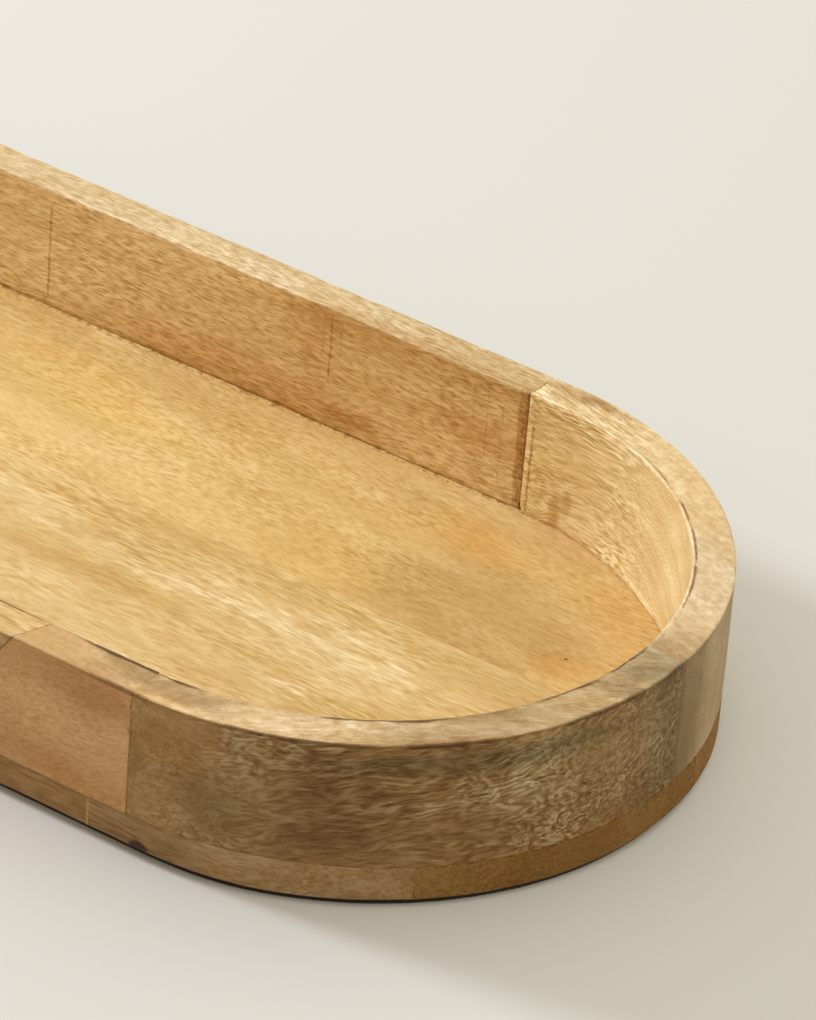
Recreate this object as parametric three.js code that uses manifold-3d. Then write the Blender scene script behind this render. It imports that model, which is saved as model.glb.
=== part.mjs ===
// Oblong wooden dish with round ends: a flat base of edge-glued boards, and a low wall of
// short glued blocks that stands on the base and is sanded flush with its edge. The underside is
// lined with dark felt, set in a little, which keeps the lower edge just clear of the table.
// Millimetres, +Z up. X runs along the dish, Y across it.
// The origin is under the middle of the dish, on the surface that it stands on.

import * as THREE from "three";
import { mergeVertices } from "three/addons/utils/BufferGeometryUtils.js";
import Module from "manifold-3d";

// ---- driving dimensions, in mm and degrees
const LENGTH = 480; // over both round ends
const WIDTH = 200; // over the long sides
const HEIGHT = 50.6; // from the table to the rim
const WALL = 11.8; // thickness of the wall at the rim
const BASE = 10.4; // thickness of the base boards
const RIM_EASE = 0.9; // eased edges of the rim
const FOOT_EASE = 1.2; // rounded lower edge of the base
const FELT_T = 2.2; // thickness of the felt lining
const FELT_INSET = 1.5; // how far its edge is set in from the outside of the dish
const GLUE = 0.3; // width of the glue line between two pieces
const ARC_STEPS = 20; // facets in a quarter turn

// Seams between the base boards.
const BOARD_SEAM_BACK_Y = 20;
const BOARD_SEAM_FRONT_Y = -70;
const FRONT_BOARD_JOINT_X = 129; // end joint in the narrow front board

// Joints between the wall blocks.
const RIGHT_BACK_JOINT_X = 134.3;
const RIGHT_FRONT_JOINT_X = 140.6;
const LEFT_BACK_JOINT_X = -140.6;
const LEFT_FRONT_JOINT_X = -134.3;
const END_JOINT_DEG = 3; // turn of each end's joint from the long axis
const BACK_RAIL_JOINT_X = -31;
const FRONT_RAIL_JOINT_X = -28;
// The scarf joint in the front rail leans both in plan and in height.
const SCARF_TOP_OUTER_X = 102;
const SCARF_TOP_INNER_X = 106.4;
const SCARF_RUN_PER_DROP = 3.8 / 5.6;

const R = WIDTH / 2; // radius of the round ends
const C = LENGTH / 2 - R; // their centres are at x = +C and -C
const FAR = LENGTH; // reaches past everything
const FLOOR = FELT_T + BASE; // height of the inside floor

// ---- colours of the boards and blocks
const finish = (color, roughness) =>
  new THREE.MeshStandardMaterial({ color, roughness, metalness: 0 });
const HONEY = 0xd9ae68,
  STRAW = 0xd6b27a,
  BROWN = 0xa67c4c,
  TAN = 0xc39a62,
  PALE = 0xd8b67c,
  GREY = 0xa3825a,
  PINK = 0xb98a5c,
  FELT = 0x3a332b;

// ---- joining and cutting
const wasm = await Module();
wasm.setup();

function solid(geometry) {
  geometry.deleteAttribute("normal");
  geometry.deleteAttribute("uv");
  const merged = mergeVertices(geometry, 1e-4);
  return new wasm.Manifold(
    new wasm.Mesh({
      numProp: 3,
      vertProperties: new Float32Array(merged.attributes.position.array),
      triVerts: new Uint32Array(merged.index.array),
    }),
  );
}

function geometryOf(manifold) {
  const m = manifold.getMesh();
  const g = new THREE.BufferGeometry();
  g.setAttribute(
    "position",
    new THREE.BufferAttribute(new Float32Array(m.vertProperties), 3),
  );
  g.setIndex(new THREE.BufferAttribute(new Uint32Array(m.triVerts), 1));
  return g;
}

// A straight-sided oblong with half-round ends of radius r.
function oblong(path, r) {
  path.moveTo(-C, -r);
  path.lineTo(C, -r);
  path.absarc(C, 0, r, -Math.PI / 2, Math.PI / 2, false);
  path.lineTo(-C, r);
  path.absarc(-C, 0, r, Math.PI / 2, (3 * Math.PI) / 2, false);
  return path;
}

// An upright prism over a plan outline, from z0 to z1.
function prism(points, z0, z1) {
  const shape = new THREE.Shape(points.map(([x, y]) => new THREE.Vector2(x, y)));
  const g = new THREE.ExtrudeGeometry(shape, {
    depth: z1 - z0,
    bevelEnabled: false,
  });
  return solid(g.translate(0, 0, z0));
}

const strip = (x0, x1, y0, y1, z0, z1) =>
  prism(
    [
      [x0, y0],
      [x1, y0],
      [x1, y1],
      [x0, y1],
    ],
    z0,
    z1,
  );

// All of the space on one side of a plane, from the plane outwards along its normal.
function halfSpace(point, normal, offset) {
  const n = normal.clone().normalize();
  const u = new THREE.Vector3(0, 0, 1).cross(n).normalize();
  const v = n.clone().cross(u);
  const g = new THREE.BoxGeometry(FAR, FAR, FAR);
  const centre = point.clone().addScaledVector(n, FAR / 2 + offset);
  g.applyMatrix4(new THREE.Matrix4().makeBasis(n, u, v).setPosition(centre));
  return solid(g);
}

// ---- the glued-up base and wall, before they are parted at their joints
const ARC = { curveSegments: ARC_STEPS, steps: 1, bevelEnabled: true };

// The base: its lower edge is rounded, and its top is cut flat where the wall stands.
const baseBlank = solid(
  new THREE.ExtrudeGeometry(oblong(new THREE.Shape(), R), {
    ...ARC,
    depth: BASE,
    bevelThickness: FOOT_EASE,
    bevelSize: FOOT_EASE,
    bevelOffset: -FOOT_EASE,
    bevelSegments: 3,
  }).translate(0, 0, FELT_T + FOOT_EASE),
);

// The wall: a ring whose two rim edges are eased, cut flat where it meets the base.
const ringOutline = oblong(new THREE.Shape(), R);
ringOutline.holes.push(oblong(new THREE.Path(), R - WALL));
const wallBlank = solid(
  new THREE.ExtrudeGeometry(ringOutline, {
    ...ARC,
    depth: HEIGHT - 2 * RIM_EASE,
    bevelThickness: RIM_EASE,
    bevelSize: RIM_EASE,
    bevelOffset: -RIM_EASE,
    bevelSegments: 2,
  }).translate(0, 0, RIM_EASE),
);

const g = GLUE / 2;
const board = (x0, x1, y0, y1) =>
  baseBlank.intersect(strip(x0, x1, y0, y1, -1, FLOOR));
const block = (outline) => wallBlank.intersect(prism(outline, FLOOR, HEIGHT + 5));
const backRail = (x0, x1) =>
  block([
    [x0 + g, 0],
    [x1 - g, 0],
    [x1 - g, FAR],
    [x0 + g, FAR],
  ]);
const frontRail = (x0, x1) =>
  block([
    [x0 + g, -FAR],
    [x1 - g, -FAR],
    [x1 - g, 0],
    [x0 + g, 0],
  ]);

// Each round end is two blocks that meet on a radial joint near the long axis.
// side is +1 for the right end and -1 for the left, which is the right end turned half round.
const endJoint = Math.tan(THREE.MathUtils.degToRad(END_JOINT_DEG));
function endBlock(side, upper, jointX) {
  const inward = (R - WALL) / 2;
  const s = upper ? 1 : -1;
  const seam = (reach) => [
    side * (C + reach),
    side * reach * endJoint + s * g,
  ];
  const corners = [
    [jointX + side * g, s * FAR],
    [jointX + side * g, s * inward],
    [side * (C + 10), s * inward],
    seam(inward),
    seam(FAR),
    [side * (C + FAR), s * FAR],
  ];
  return block(side * s > 0 ? corners : corners.reverse());
}

const scarfPoint = new THREE.Vector3(SCARF_TOP_OUTER_X, -R, HEIGHT);
const scarfNormal = new THREE.Vector3(
  SCARF_TOP_INNER_X - SCARF_TOP_OUTER_X,
  WALL,
  0,
).cross(new THREE.Vector3(-SCARF_RUN_PER_DROP, 0, -1));
const scarfLeft = (offset) => halfSpace(scarfPoint, scarfNormal, offset);
const scarfRight = (offset) =>
  halfSpace(scarfPoint, scarfNormal.clone().negate(), offset);

// The felt lining: a thin sheet stuck under the base.
const lining = solid(
  new THREE.ExtrudeGeometry(oblong(new THREE.Shape(), R - FELT_INSET), {
    depth: FELT_T,
    curveSegments: ARC_STEPS,
    bevelEnabled: false,
  }),
);

// ---- the pieces
const pieces = [
  // base boards, all with their grain along the dish
  ["base_board_back", HONEY, board(-FAR, FAR, BOARD_SEAM_BACK_Y + g, FAR)],
  [
    "base_board_middle",
    STRAW,
    board(-FAR, FAR, BOARD_SEAM_FRONT_Y + g, BOARD_SEAM_BACK_Y - g),
  ],
  [
    "base_board_front_long",
    BROWN,
    board(-FAR, FRONT_BOARD_JOINT_X - g, -FAR, BOARD_SEAM_FRONT_Y - g),
  ],
  [
    "base_board_front_short",
    BROWN,
    board(FRONT_BOARD_JOINT_X + g, FAR, -FAR, BOARD_SEAM_FRONT_Y - g),
  ],
  // wall along the back
  ["rail_back_right", TAN, backRail(BACK_RAIL_JOINT_X, RIGHT_BACK_JOINT_X)],
  ["rail_back_left", TAN, backRail(LEFT_BACK_JOINT_X, BACK_RAIL_JOINT_X)],
  // wall along the front, with the short filler block and its scarf joint
  [
    "rail_front_filler",
    PINK,
    frontRail(FRONT_RAIL_JOINT_X, RIGHT_FRONT_JOINT_X).subtract(scarfLeft(-g)),
  ],
  [
    "rail_front_right",
    TAN,
    frontRail(FRONT_RAIL_JOINT_X, RIGHT_FRONT_JOINT_X).subtract(scarfRight(-g)),
  ],
  ["rail_front_left", TAN, frontRail(LEFT_FRONT_JOINT_X, FRONT_RAIL_JOINT_X)],
  // round ends
  ["end_block_right_back", PALE, endBlock(1, true, RIGHT_BACK_JOINT_X)],
  ["end_block_right_front", GREY, endBlock(1, false, RIGHT_FRONT_JOINT_X)],
  ["end_block_left_back", PALE, endBlock(-1, true, LEFT_BACK_JOINT_X)],
  ["end_block_left_front", GREY, endBlock(-1, false, LEFT_FRONT_JOINT_X)],
  // felt under the base
  ["felt_lining", FELT, lining],
];

const dish = new THREE.Group();
dish.name = "wooden_dish";
for (const [name, colour, manifold] of pieces) {
  const roughness = colour === FELT ? 0.95 : 0.62;
  const mesh = new THREE.Mesh(geometryOf(manifold), finish(colour, roughness));
  mesh.name = name;
  dish.add(mesh);
}

export default dish;
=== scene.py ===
# Oblong wooden dish with round ends: edge-glued base boards, a low wall of short glued blocks,
# and a thin dark felt lining underneath, whose dark edge also stands in for the contact shadow under the dish (painted
# shade). Every piece is meshed here at its real size and place, in metres.
# Lengths in this file are in millimetres until a mesh is made.

import math

import bmesh
import bpy
import numpy as np
from mathutils import Matrix, Vector


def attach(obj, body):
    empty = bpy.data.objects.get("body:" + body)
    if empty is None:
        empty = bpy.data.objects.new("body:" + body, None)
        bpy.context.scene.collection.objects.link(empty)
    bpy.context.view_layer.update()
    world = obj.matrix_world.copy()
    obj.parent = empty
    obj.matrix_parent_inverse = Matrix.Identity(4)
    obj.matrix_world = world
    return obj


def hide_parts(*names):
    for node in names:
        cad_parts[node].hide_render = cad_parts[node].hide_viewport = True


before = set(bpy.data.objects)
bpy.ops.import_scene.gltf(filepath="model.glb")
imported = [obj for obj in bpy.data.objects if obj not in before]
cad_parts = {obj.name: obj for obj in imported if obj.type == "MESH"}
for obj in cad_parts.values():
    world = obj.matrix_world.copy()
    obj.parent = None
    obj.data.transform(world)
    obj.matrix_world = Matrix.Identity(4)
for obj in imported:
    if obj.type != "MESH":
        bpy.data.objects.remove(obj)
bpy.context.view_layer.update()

MM = 0.001
R, C, H = 100.0, 140.0, 50.6  # end radius, end centres at x = +-C, rim height
WALL, FLOOR, FELT = 11.8, 12.6, 2.2  # wall, height of the inside floor, felt
RI = R - WALL
RM = R - WALL / 2  # the path that the wall blocks are measured along
ARC = math.pi * RM
LOOP = 2 * (2 * C + ARC)


# ------------------------------------------------------------------ noise for the meshes
def _hash(ix, iy, iz, seed):
    h = (ix * 374761393 + iy * 668265263 + iz * 1440662683 + seed * 974634737) & 0xFFFFFFFF
    h = ((h ^ (h >> 13)) * 1274126177) & 0xFFFFFFFF
    h = ((h ^ (h >> 16)) * 2246822519) & 0xFFFFFFFF
    return ((h ^ (h >> 15)) & 0xFFFFFF) / float(0xFFFFFF)


def noise(x, y=0.0, z=0.0, seed=0):
    """Smooth value noise between -1 and 1."""
    x, y, z = np.broadcast_arrays(*(np.asarray(v, float) for v in (x, y, z)))
    fx, fy, fz = np.floor(x), np.floor(y), np.floor(z)
    ux, uy, uz = x - fx, y - fy, z - fz
    ix, iy, iz = (v.astype(np.int64) for v in (fx, fy, fz))
    sx, sy, sz = (u * u * (3 - 2 * u) for u in (ux, uy, uz))
    total = np.zeros_like(x)
    for dx in (0, 1):
        for dy in (0, 1):
            for dz in (0, 1):
                w = (
                    (sx if dx else 1 - sx)
                    * (sy if dy else 1 - sy)
                    * (sz if dz else 1 - sz)
                )
                total += w * _hash(ix + dx, iy + dy, iz + dz, seed)
    return total * 2 - 1


def smooth(a, b, v):
    t = np.clip((np.asarray(v, float) - a) / (b - a), 0, 1)
    return t * t * (3 - 2 * t)


# ------------------------------------------------------------------ the path of the wall
def along(q, o):
    """Plan point at distance q along the wall's path, o out from the long axis of the dish."""
    q, o = np.broadcast_arrays(np.mod(q, LOOP), np.asarray(o, float))
    x = np.empty(q.shape)
    y = np.empty(q.shape)
    a1 = (q - 2 * C) / RM
    a2 = (q - 4 * C - ARC) / RM
    back = q <= 2 * C
    right = (q > 2 * C) & (q <= 2 * C + ARC)
    front = (q > 2 * C + ARC) & (q <= 4 * C + ARC)
    left = q > 4 * C + ARC
    x[back], y[back] = (q - C)[back], o[back]
    x[right], y[right] = (C + o * np.sin(a1))[right], (o * np.cos(a1))[right]
    x[front], y[front] = (3 * C + ARC - q)[front], -o[front]
    x[left], y[left] = (-C - o * np.sin(a2))[left], (-o * np.cos(a2))[left]
    return x, y


def q_back(x):
    return x + C


def q_right(deg):
    return 2 * C + RM * math.radians(90 - deg)


def q_front(x):
    return 3 * C + ARC - x


def q_left(deg):
    """deg as on the right end, which turned half round gives the left end."""
    return 4 * C + ARC + RM * math.radians(90 - deg)


# ------------------------------------------------------------------ mesh helpers
def make_object(name, verts, faces, sharp=40):
    mesh = bpy.data.meshes.new(name)
    mesh.from_pydata([tuple(v * MM for v in p) for p in verts], [], faces)
    bm = bmesh.new()
    bm.from_mesh(mesh)
    bmesh.ops.remove_doubles(bm, verts=bm.verts, dist=1e-7)
    bmesh.ops.recalc_face_normals(bm, faces=bm.faces)
    if bm.calc_volume(signed=True) < 0:
        bmesh.ops.reverse_faces(bm, faces=bm.faces)
    bm.to_mesh(mesh)
    bm.free()
    mesh.shade_smooth()
    mesh.set_sharp_from_angle(angle=math.radians(sharp))
    obj = bpy.data.objects.new(name, mesh)
    bpy.context.scene.collection.objects.link(obj)
    return obj


def stations(length, step, ends=(0.0, 0.06, 0.14, 0.24, 0.4, 0.7)):
    """Distances along a piece, close together at both ends."""
    n = max(4, int(round((length - 2) / step)))
    mid = np.linspace(1.0, length - 1.0, n)
    return np.concatenate([np.array(ends), mid, length - np.array(ends)[::-1]])


# ------------------------------------------------------------------ wall blocks
def wall_block(name, q0, q1, seed, step=1.0, lean=None, groove=None, chip=None, start=None,
               end=None, ease0=0.16, ease1=0.16, extra_z=(), rim_o=0.42, rim_i=0.30, ease_w=None):
    """A block of the wall from q0 to q1. start and end move its two end faces by a distance
    that depends on the place (o, z) in the cross-section."""
    length = q1 - q0
    dist = stations(length, step)
    tau = dist / length
    ns = len(tau)
    qn = q0 + dist  # nominal place of each station, for everything that varies along the block
    col = lambda v: np.asarray(v)[:, None]

    ro = rim_o * (1 + 0.28 * noise(qn / 17, seed=seed) + 0.22 * noise(qn / 4.3, seed=seed + 1))
    ri = rim_i * (1 + 0.25 * noise(qn / 13, seed=seed + 2) + 0.25 * noise(qn / 3.1, seed=seed + 3))
    # small nicks in the two rim edges
    nick = np.clip(noise(qn / 5.1, seed=seed + 4) - 0.62, 0, 1) * 1.7
    ro = np.clip(ro + 0.7 * nick, 0.3, 1.3)
    ri = np.clip(ri + np.clip(noise(qn / 4.2, seed=seed + 5) - 0.66, 0, 1) * 1.6, 0.2, 1.4)
    bo = np.clip(0.17 + 0.13 * noise(qn / 7, seed=seed + 6) + 0.10 * noise(qn / 2.3, seed=seed + 7), 0.04, 0.5)
    bi = np.clip(0.20 + 0.28 * noise(qn / 5, seed=seed + 8) + 0.26 * noise(qn / 1.7, seed=seed + 9), 0.02, 0.75)

    O, Z, DO, DZ = [], [], [], []

    def put(o, z, do, dz):
        O.append(np.broadcast_to(o, (ns,)))
        Z.append(np.broadcast_to(z, (ns,)))
        DO.append(do)
        DZ.append(dz)

    lean_q = np.zeros(ns) if lean is None else lean(qn)
    face_z = sorted(set(list(np.linspace(FLOOR + 1.2, H - 2.6, 13)) + list(extra_z)))

    def outer(z):
        return R - 0.22 + 0.13 * noise(qn / 31, z / 23, seed=seed + 10) + 0.07 * noise(qn / 8, z / 9, seed=seed + 11)

    def inner(z):
        k = 1 - (z - FLOOR) / (H - FLOOR)
        return (RI - lean_q * k ** 1.15 + 0.12 * noise(qn / 27, z / 21, seed=seed + 12)
                + 0.08 * noise(qn / 7, z / 8, seed=seed + 13))

    # outer lower edge and face
    put(outer(FLOOR) - bo, FLOOR + 0.01, -0.4, 0)
    put(outer(FLOOR) - 0.3 * bo, FLOOR + 0.3 * bo, -1, 0)
    put(outer(FLOOR), FLOOR + bo, -1, 0)
    for z in face_z:
        put(outer(z), z, -1, 0)
    # outer rim edge
    top = lambda o: H - 0.16 + 0.10 * noise(qn / 21, o / 7, seed=seed + 14) + 0.045 * noise(qn / 3.7, o / 2.5, seed=seed + 15)
    oo = outer(H)
    for a in (0, 18, 36, 54, 72, 90):
        c, s = math.cos(math.radians(a)), math.sin(math.radians(a))
        put(oo - ro + ro * c, top(R) - ro + ro * s, -c, -s)
    # rim
    ii = inner(H)
    for k in (0.12, 0.25, 0.38, 0.51, 0.64, 0.76):
        o = (oo - ro) + (ii + ri - (oo - ro)) * k
        put(o, top(R - WALL * k), 0, -1)
    # groove beside the inner rim edge
    g = np.zeros(ns) if groove is None else groove(qn)
    for d, depth in ((1.05, 0.0), (0.82, 0.75), (0.62, 1.0), (0.42, 0.15)):
        put(ii + ri + d, top(RI + 1) - g * depth, 0, -1)
    # inner rim edge
    for a in (90, 65, 40, 20, 0):
        c, s = math.cos(math.radians(a)), math.sin(math.radians(a))
        put(ii + ri - ri * c, top(RI) - ri + ri * s, c, -s)
    # inner face and lower edge
    for z in face_z[::-1]:
        put(inner(z), z, 1, 0)
    put(inner(FLOOR), FLOOR + bi, 1, 0)
    put(inner(FLOOR) + 0.3 * bi, FLOOR + 0.3 * bi, 1, 0)
    put(inner(FLOOR) + bi + 0.05, FLOOR + 0.01, 0.4, 0)
    # underside
    put(RI + 3.5, FLOOR + 0.01, 0, 0)
    put(R - 4.0, FLOOR + 0.01, 0, 0)

    O, Z = np.array(O).T.copy(), np.array(Z).T.copy()
    DO, DZ = np.array(DO), np.array(DZ)
    nl = O.shape[1]

    # the ends: eased edges, then the end faces moved by start and end
    def end_ease(d, e):
        t = np.clip(1 - d / max(e, 1e-6), 0, 1)
        return e * (1 - np.sqrt(1 - t * t))

    e = (end_ease(dist, ease0) + end_ease(length - dist, ease1))[:, None]
    if ease_w is not None:
        e = e * ease_w(O, Z)
    O, Z = O + e * DO[None, :], Z + e * DZ[None, :]
    s0 = np.zeros(nl) if start is None else start(O[0], Z[0])
    s1 = np.zeros(nl) if end is None else end(O[-1], Z[-1])
    q = (q0 + s0)[None, :] + (length + s1 - s0)[None, :] * tau[:, None]
    if chip is not None:
        Z = Z - chip(q, O) * (DZ[None, :] < -0.5)
    X, Y = along(q, O)

    verts = np.stack([X, Y, Z], 2).reshape(-1, 3).tolist()
    faces = []
    for i in range(ns - 1):
        for j in range(nl):
            k = (j + 1) % nl
            faces.append((i * nl + j, i * nl + k, (i + 1) * nl + k, (i + 1) * nl + j))
    # end faces: a ring set in from the edge, then one flat face
    for i, qe, flip in ((0, q0, True), (ns - 1, q1, False)):
        cut = scarf_at(O[i], Z[i]) if (flip and start is scarf_start) or (not flip and end is scarf_end) else qe
        co, cz = (R + RI) / 2, (FLOOR + H) / 2
        ro_ = O[i] + np.clip(co - O[i], -1.6, 1.6)
        rz_ = Z[i] + np.clip(cz - Z[i], -1.6, 1.6)
        if np.ndim(cut):
            cut = scarf_at(ro_, rz_) + (SCARF_GAP if flip else -SCARF_GAP)
        rx, ry = along(np.broadcast_to(cut, (nl,)), ro_)
        base = len(verts)
        verts += np.stack([rx, ry, rz_], 1).tolist()
        for j in range(nl):
            k = (j + 1) % nl
            faces.append((i * nl + k, i * nl + j, base + j, base + k) if flip
                         else (i * nl + j, i * nl + k, base + k, base + j))
        ring = tuple(range(base, base + nl))
        faces.append(ring if flip else ring[::-1])
    return make_object(name, verts, faces)


GAP = 0.10  # half of the open width of a joint
SCARF_GAP = 0.10
SCARF_NOMINAL = 92.0  # a middle x for the leaning joint


def scarf_x(o, z):
    return 102.0 + 4.4 * (R - o) / WALL - (3.8 / 5.6) * (H - z)


def scarf_at(o, z):
    return q_front(scarf_x(o, z))


def scarf_end(o, z):
    return scarf_at(o, z) - SCARF_GAP - q_front(SCARF_NOMINAL)


def scarf_start(o, z):
    return scarf_at(o, z) + SCARF_GAP - q_front(SCARF_NOMINAL)


def theta_right(q):
    return 90 - np.degrees((q - 2 * C) / RM)


def bell(v, centre, width):
    return np.exp(-(((v - centre) / width) ** 2))


def lean_pale(q):
    return 0.3 + 3.0 * bell(theta_right(q), 60, 24)


def lean_plain(q):
    return 0.5 + 0.5 * noise(q / 40, seed=77)


def groove_pale(q):
    """A fine tear line beside the inner rim edge of the pale end block, broken up at its end."""
    t = theta_right(q)
    body = smooth(70, 62, t) * smooth(12, 22, t)
    broken = np.where(t < 40, 0.25 + 0.75 * (noise(q / 0.9, seed=5) > -0.1), 1.0)
    return (0.12 + 0.42 * smooth(70, 52, t)) * body * broken * (0.8 + 0.3 * noise(q / 4, seed=6))


def chip_seam(q, o):
    """A flat chip in the rim at the seam of the pale end block."""
    d = q - (q_back(134.3) + GAP)
    reach = 3.4 * np.clip(1 - np.abs(o - 91.4) / np.where(o > 91.4, 4.9, 2.2), 0, 1)
    return 0.25 * np.clip(1 - d / np.maximum(reach, 1e-3), 0, 1) * (reach > 0.01) * smooth(0, 0.5, reach)


# Joint faces. h is the height above the inside floor.
def hole_back_seam(o, z):
    """A small hole at the foot of the seam on the inside, and the seam closing towards the rim."""
    h = z - FLOOR
    inner = smooth(91, 88.6, o)
    return inner * (0.07 * smooth(8, 24, h) - 0.95 * bell(h, 0.9, 1.3)) + (1 - inner) * 0.07


def hole_back_seam_b(o, z):
    h = z - FLOOR
    inner = smooth(91, 88.6, o)
    return inner * (0.6 * bell(h, 0.7, 1.1) - 0.07 * smooth(8, 24, h)) - (1 - inner) * 0.05


def void_front_seam(o, z):
    h = z - FLOOR
    outer = smooth(98.2, 99.6, o)
    return outer * (0.85 * bell(h, 25.9, 0.75) + 0.5 * bell(h, 33.3, 0.5) + 0.16 * bell(h, 15, 10)
                    - 0.08 * smooth(27, 30, h)) - 0.08 * (1 - outer)


def void_front_seam_b(o, z):
    h = z - FLOOR
    outer = smooth(98.2, 99.6, o)
    return -outer * (0.55 * bell(h, 25.7, 0.7) + 0.12 * bell(h, 16, 9) - 0.08 * smooth(27, 30, h)) + 0.08 * (1 - outer)


def close_joint(amount):
    return lambda o, z: amount + 0 * o


def low_outside(o, z):
    """Eased edges only on the lower outside of a joint."""
    return 0.15 + 0.85 * smooth(98.2, 99.6, o) * smooth(30, 26, z - FLOOR)


def low_inside(o, z):
    return 0.2 + 0.8 * smooth(91, 88.6, o) * smooth(30, 14, z - FLOOR)


VOID_Z = [FLOOR + h for h in (24.5, 24.9, 25.2, 25.5, 25.8, 26.1, 26.4, 26.8, 27.3, 32.5, 32.8, 33.1, 33.4, 33.7, 34.1)]
FOOT_Z = [FLOOR + h for h in (0.4, 0.7, 1.0, 1.4, 1.9, 2.5, 3.2)]

pieces = {}


def add(obj, node):
    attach(obj, "root")
    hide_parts(node)
    pieces[node] = obj


add(wall_block("back_rail_left", q_back(-140.6) + GAP, q_back(-31) - GAP, 200, ease1=0.0, end=close_joint(0.095)),
    "rail_back_left")
add(wall_block("back_rail_right", q_back(-31) + GAP, q_back(134.3) - GAP, 200, ease0=0.0, start=close_joint(-0.095),
               end=hole_back_seam, extra_z=FOOT_Z, ease1=0.2, ease_w=low_inside),
    "rail_back_right")
add(wall_block("right_end_back", q_back(134.3) + GAP, q_right(3) - GAP, 300, step=0.9, lean=lean_pale,
               groove=groove_pale, chip=chip_seam, start=hole_back_seam_b, end=close_joint(0.07), extra_z=FOOT_Z,
               ease0=0.2, ease1=0.04, ease_w=low_inside),
    "end_block_right_back")
add(wall_block("right_end_front", q_right(3) + GAP, q_front(140.6) - GAP, 400, step=0.9, lean=lean_plain,
               start=close_joint(-0.07), end=void_front_seam_b, extra_z=VOID_Z, ease0=0.04, ease1=0.2, ease_w=low_outside),
    "end_block_right_front")
add(wall_block("front_filler", q_front(140.6) + GAP, q_front(SCARF_NOMINAL), 500, start=void_front_seam,
               end=scarf_end, extra_z=VOID_Z, ease0=0.2, ease1=0.14, ease_w=low_outside),
    "rail_front_filler")
add(wall_block("front_rail_right", q_front(SCARF_NOMINAL), q_front(-28) - GAP, 600, start=scarf_start, ease0=0.14,
               ease_w=low_outside),
    "rail_front_right")
add(wall_block("front_rail_left", q_front(-28) + GAP, q_front(-134.3) - GAP, 700, ease0=0.05, ease1=0.08),
    "rail_front_left")
add(wall_block("left_end_front", q_front(-134.3) + GAP, q_left(3) - GAP, 800, lean=lean_plain, ease0=0.08, ease1=0.05),
    "end_block_left_front")
add(wall_block("left_end_back", q_left(3) + GAP, LOOP + q_back(-140.6) - GAP, 900, lean=lean_plain, ease0=0.05, ease1=0.08),
    "end_block_left_back")


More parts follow.
